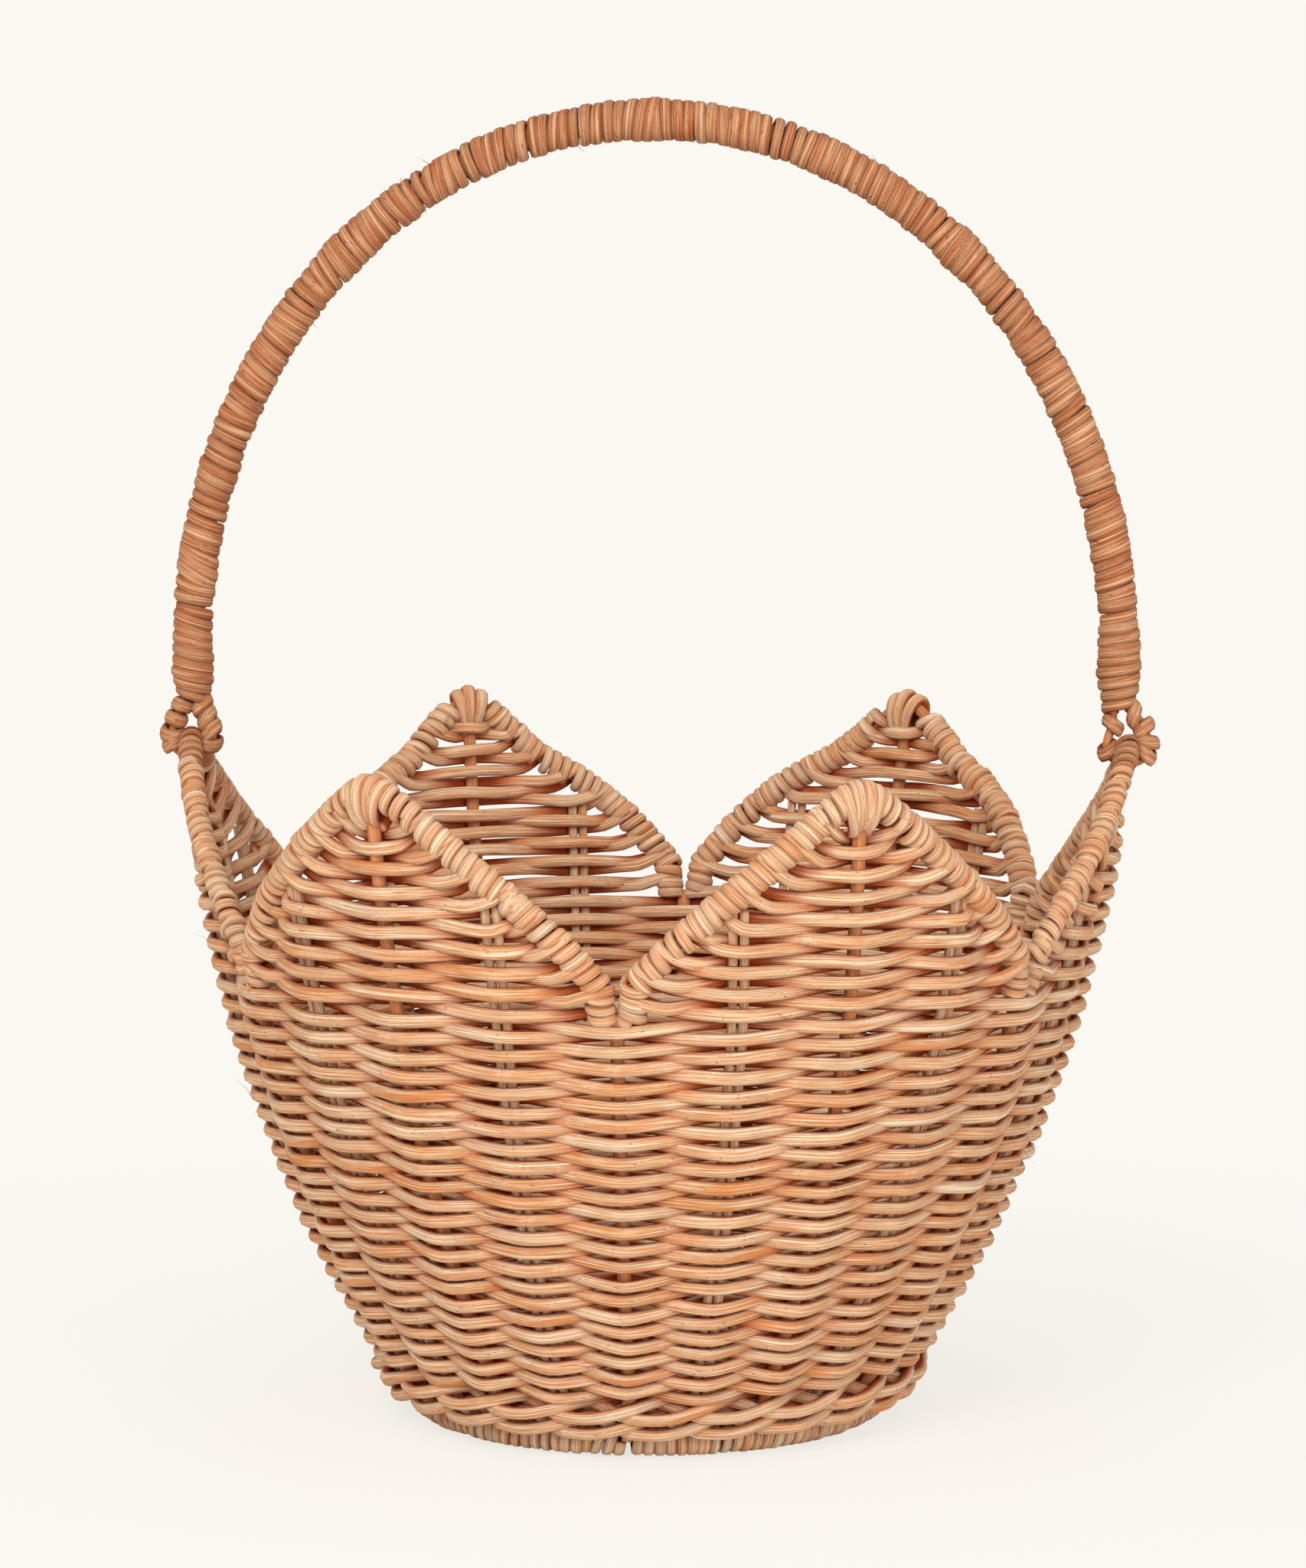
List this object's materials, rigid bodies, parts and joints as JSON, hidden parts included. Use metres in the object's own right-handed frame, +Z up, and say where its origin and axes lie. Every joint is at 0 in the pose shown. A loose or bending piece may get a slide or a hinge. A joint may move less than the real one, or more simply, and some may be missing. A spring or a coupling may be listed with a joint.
{
  "type": "woven basket",
  "caption": "Round woven cane basket with a rim of pointed petals, standing on a wrapped foot hoop, with a tall arch handle that swings on loops at two petal tips.",
  "frame": {"origin": "on the floor under the middle of the foot hoop, at the centre of the box's underside", "axes": "+Z up; X along the line through the two handle loops; the front looks along -Y"},
  "size_m": [0.2704, 0.2494, 0.3597],
  "materials": {
    "woven_cane": "matt natural cane, woven",
    "bare_rod": "smooth darker rattan rod, satin",
    "wound_cane": "matt natural cane, wound close"
  },
  "bodies": {
    "basket": {"foot_hoop": "wound_cane", "base_weave": "woven_cane", "base_stick_lower_1": "bare_rod", "base_stick_lower_2": "bare_rod", "base_stick_upper_1": "bare_rod", "base_stick_upper_2": "bare_rod", "foot_wale": "woven_cane", "siding_weave": "woven_cane", "tip_stake_right": "bare_rod", "tip_stake_back_right": "bare_rod", "tip_stake_back_left": "bare_rod", "tip_stake_left": "bare_rod", "tip_stake_front_left": "bare_rod", "tip_stake_front_right": "bare_rod", "valley_stake_1": "bare_rod", "valley_stake_2": "bare_rod", "valley_stake_3": "bare_rod", "valley_stake_4": "bare_rod", "valley_stake_5": "bare_rod", "valley_stake_6": "bare_rod", "stake_pair_1": "bare_rod", "stake_pair_2": "bare_rod", "stake_pair_3": "bare_rod", "stake_pair_4": "bare_rod", "stake_pair_5": "bare_rod", "stake_pair_6": "bare_rod", "stake_pair_7": "bare_rod", "stake_pair_8": "bare_rod", "stake_pair_9": "bare_rod", "stake_pair_10": "bare_rod", "stake_pair_11": "bare_rod", "stake_pair_12": "bare_rod", "petal_weave_right": "woven_cane", "petal_weave_back_right": "woven_cane", "petal_weave_back_left": "woven_cane", "petal_weave_left": "woven_cane", "petal_weave_front_left": "woven_cane", "petal_weave_front_right": "woven_cane", "petal_border_right": "wound_cane", "petal_border_back_right": "wound_cane", "petal_border_back_left": "wound_cane", "petal_border_left": "wound_cane", "petal_border_front_left": "wound_cane", "petal_border_front_right": "wound_cane", "tip_binding_back_right": "wound_cane", "tip_binding_back_left": "wound_cane", "tip_binding_front_left": "wound_cane", "tip_binding_front_right": "wound_cane"},
    "handle": {"handle_core": "bare_rod", "handle_wrap_left_lower": "wound_cane", "handle_wrap_left_upper": "wound_cane", "handle_wrap_right_lower": "wound_cane", "handle_wrap_right_upper": "wound_cane", "eye_left": "bare_rod", "eye_right": "bare_rod", "eye_wrap_left_inner": "wound_cane", "eye_wrap_left_outer": "wound_cane", "eye_wrap_right_inner": "wound_cane", "eye_wrap_right_outer": "wound_cane"}
  },
  "joints": [
    {"name": "handle_swing", "type": "hinge", "parent": "basket", "child": "handle", "pos_m": [0, 0, 0.1808], "axis": [1, 0, 0], "range_deg": [-70, 70]}
  ]
}
